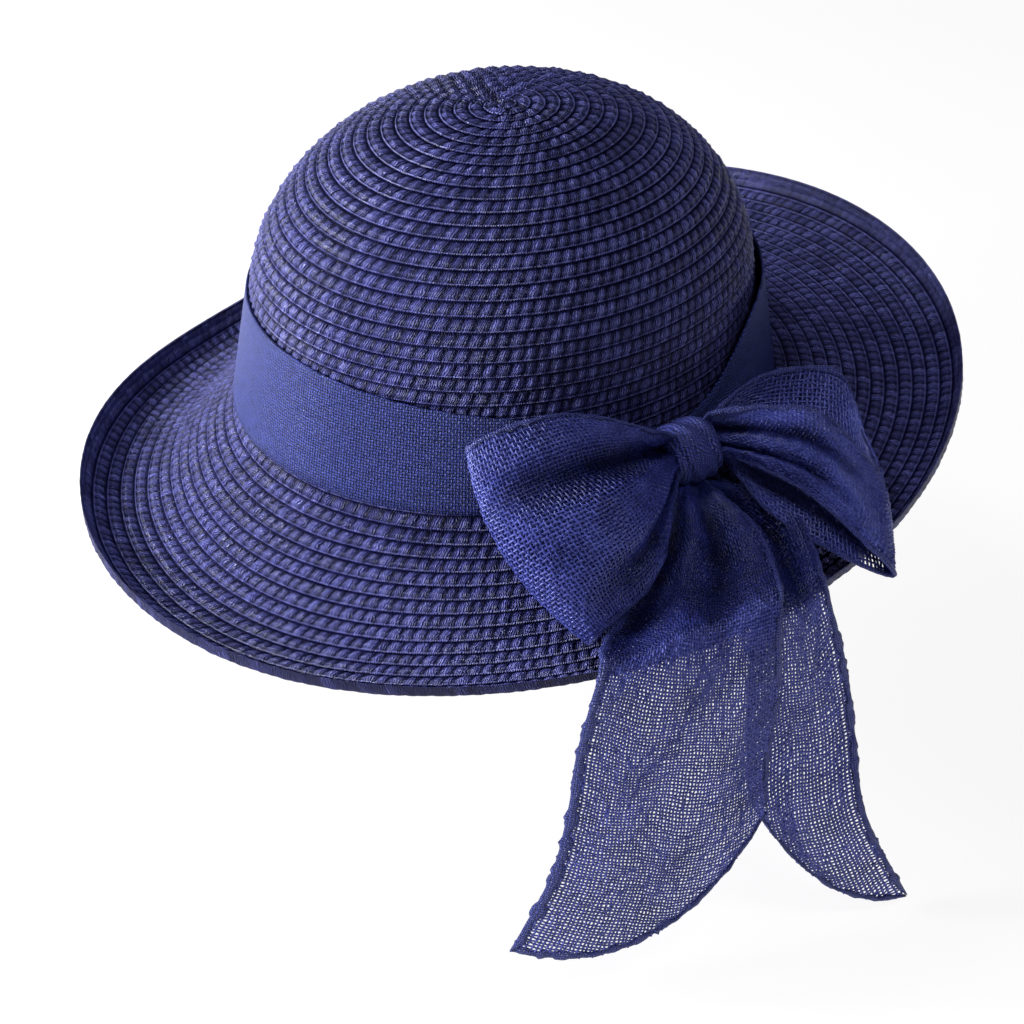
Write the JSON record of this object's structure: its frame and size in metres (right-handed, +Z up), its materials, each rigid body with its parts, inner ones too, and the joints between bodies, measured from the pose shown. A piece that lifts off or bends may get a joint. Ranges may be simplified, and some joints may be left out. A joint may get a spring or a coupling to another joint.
{
  "type": "straw hat",
  "caption": "Sewn-braid straw sun hat with a round crown, a turned-up brim, a ribbon band and a bow with two hanging tails.",
  "frame": {"origin": "middle of the head opening, at the foot of the crown", "axes": "+Z up through the crown, -Y to the front of the hat, +X to the side with the bow"},
  "size_m": [0.3471, 0.3318, 0.2353],
  "materials": {
    "straw": "flat paper-straw braid in rows about 5 mm apart, satin, dyed deep violet blue",
    "band_ribbon": "close plain-woven ribbon, matt, dyed royal blue",
    "bow_ribbon": "open plain-woven stiff ribbon that light shows through, matt threads, rolled hems"
  },
  "bodies": {
    "root": {"crown": "straw", "brim": "straw", "hatband": "band_ribbon", "bow_knot": "bow_ribbon", "bow_loop_left": "bow_ribbon", "bow_loop_right": "bow_ribbon", "bow_tail_left": "bow_ribbon", "bow_tail_right": "bow_ribbon"}
  },
  "joints": []
}
